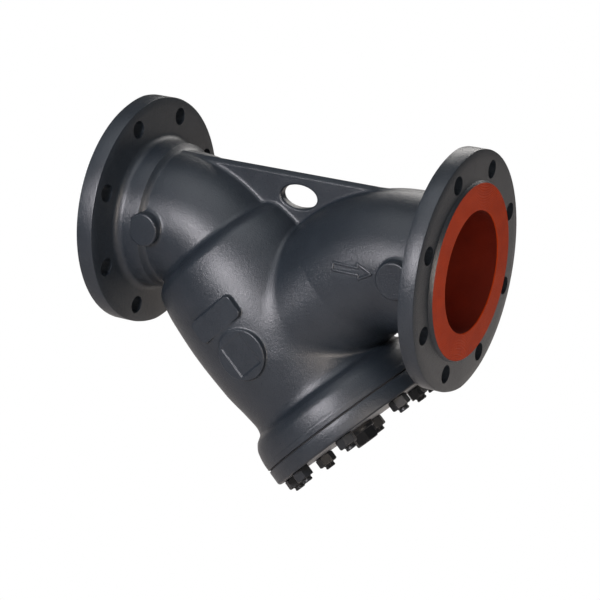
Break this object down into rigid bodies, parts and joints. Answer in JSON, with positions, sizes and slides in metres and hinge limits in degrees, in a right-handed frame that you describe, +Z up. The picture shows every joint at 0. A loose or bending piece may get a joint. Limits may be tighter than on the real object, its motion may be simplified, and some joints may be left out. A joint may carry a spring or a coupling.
{
  "type": "flanged mesh strainer",
  "caption": "Y-pattern pipeline strainer: cast flanged body, slanted screen barrel, bolted cover with drain plug and a perforated, mesh-lined screen.",
  "frame": {"origin": "centre of the bore in the plane of the inlet flange's raised face", "axes": "+X along the pipe from the inlet to the outlet, +Z up with the screen barrel pointing down, +Y away from the side with the bosses"},
  "size_m": [0.4, 0.25, 0.3928],
  "materials": {
    "casting_paint": "semi-gloss dark blue-grey paint over a fine sand-cast skin",
    "face_primer": "orange-red primer over a finely turned sealing face",
    "fasteners": "steel nuts, studs and plug under the same dark paint",
    "seal": "matt black graphite seal",
    "screen_sheet": "plain stainless sheet",
    "screen_mesh": "fine woven stainless wire"
  },
  "bodies": {
    "casting": {"strainer_body": "casting_paint", "cover_gasket": "seal", "cover_stud_1": "fasteners", "cover_stud_2": "fasteners", "cover_stud_3": "fasteners", "cover_stud_4": "fasteners", "cover_stud_5": "fasteners", "cover_stud_6": "fasteners", "cover_stud_7": "fasteners", "cover_stud_8": "fasteners"},
    "cover_set": {"cover": "casting_paint"},
    "screen": {"screen_tube": "screen_sheet", "screen_liner": "screen_mesh", "screen_top_ring": "screen_sheet", "screen_bottom_ring": "screen_sheet"},
    "plug_seal": {"drain_plug_gasket": "seal"},
    "plug": {"drain_plug": "fasteners"},
    "nut_1": {"cover_nut_1": "fasteners"},
    "nut_2": {"cover_nut_2": "fasteners"},
    "nut_3": {"cover_nut_3": "fasteners"},
    "nut_4": {"cover_nut_4": "fasteners"},
    "nut_5": {"cover_nut_5": "fasteners"},
    "nut_6": {"cover_nut_6": "fasteners"},
    "nut_7": {"cover_nut_7": "fasteners"},
    "nut_8": {"cover_nut_8": "fasteners"}
  },
  "joints": [
    {"name": "cover_slide", "type": "slide", "parent": "casting", "child": "cover_set", "axis": [0.7071, 0, -0.7071], "range_m": [0, 0.3]},
    {"name": "screen_slide", "type": "slide", "parent": "casting", "child": "screen", "axis": [0.7071, 0, -0.7071], "range_m": [0, 0.24]},
    {"name": "plug_seal_slide", "type": "slide", "parent": "cover_set", "child": "plug_seal", "axis": [0.7071, 0, -0.7071], "range_m": [0, 0.0165]},
    {"name": "plug_spin", "type": "hinge", "parent": "plug_seal", "child": "plug", "pos_m": [0.2874, 0, -0.1994], "axis": [0.7071, 0, -0.7071], "range_deg": [0, 3240]},
    {"name": "nut_1_spin", "type": "hinge", "parent": "cover_set", "child": "nut_1", "pos_m": [0.31078, 0.08223, -0.17461], "axis": [0.7071, 0, -0.7071], "range_deg": [0, 3240]},
    {"name": "nut_2_spin", "type": "hinge", "parent": "cover_set", "child": "nut_2", "pos_m": [0.34484, 0.03406, -0.14056], "axis": [0.7071, 0, -0.7071], "range_deg": [0, 3240]},
    {"name": "nut_3_spin", "type": "hinge", "parent": "cover_set", "child": "nut_3", "pos_m": [0.34484, -0.03406, -0.14056], "axis": [0.7071, 0, -0.7071], "range_deg": [0, 3240]},
    {"name": "nut_4_spin", "type": "hinge", "parent": "cover_set", "child": "nut_4", "pos_m": [0.31078, -0.08223, -0.17461], "axis": [0.7071, 0, -0.7071], "range_deg": [0, 3240]},
    {"name": "nut_5_spin", "type": "hinge", "parent": "cover_set", "child": "nut_5", "pos_m": [0.26261, -0.08223, -0.22278], "axis": [0.7071, 0, -0.7071], "range_deg": [0, 3240]},
    {"name": "nut_6_spin", "type": "hinge", "parent": "cover_set", "child": "nut_6", "pos_m": [0.22856, -0.03406, -0.25684], "axis": [0.7071, 0, -0.7071], "range_deg": [0, 3240]},
    {"name": "nut_7_spin", "type": "hinge", "parent": "cover_set", "child": "nut_7", "pos_m": [0.22856, 0.03406, -0.25684], "axis": [0.7071, 0, -0.7071], "range_deg": [0, 3240]},
    {"name": "nut_8_spin", "type": "hinge", "parent": "cover_set", "child": "nut_8", "pos_m": [0.26261, 0.08223, -0.22278], "axis": [0.7071, 0, -0.7071], "range_deg": [0, 3240]}
  ],
  "couplings": [
    {"joint": "screen_slide", "follows": "cover_slide", "ratio": 0.8},
    {"joint": "plug_seal_slide", "follows": "plug_spin", "m_per_rad": 0.00028871}
  ]
}
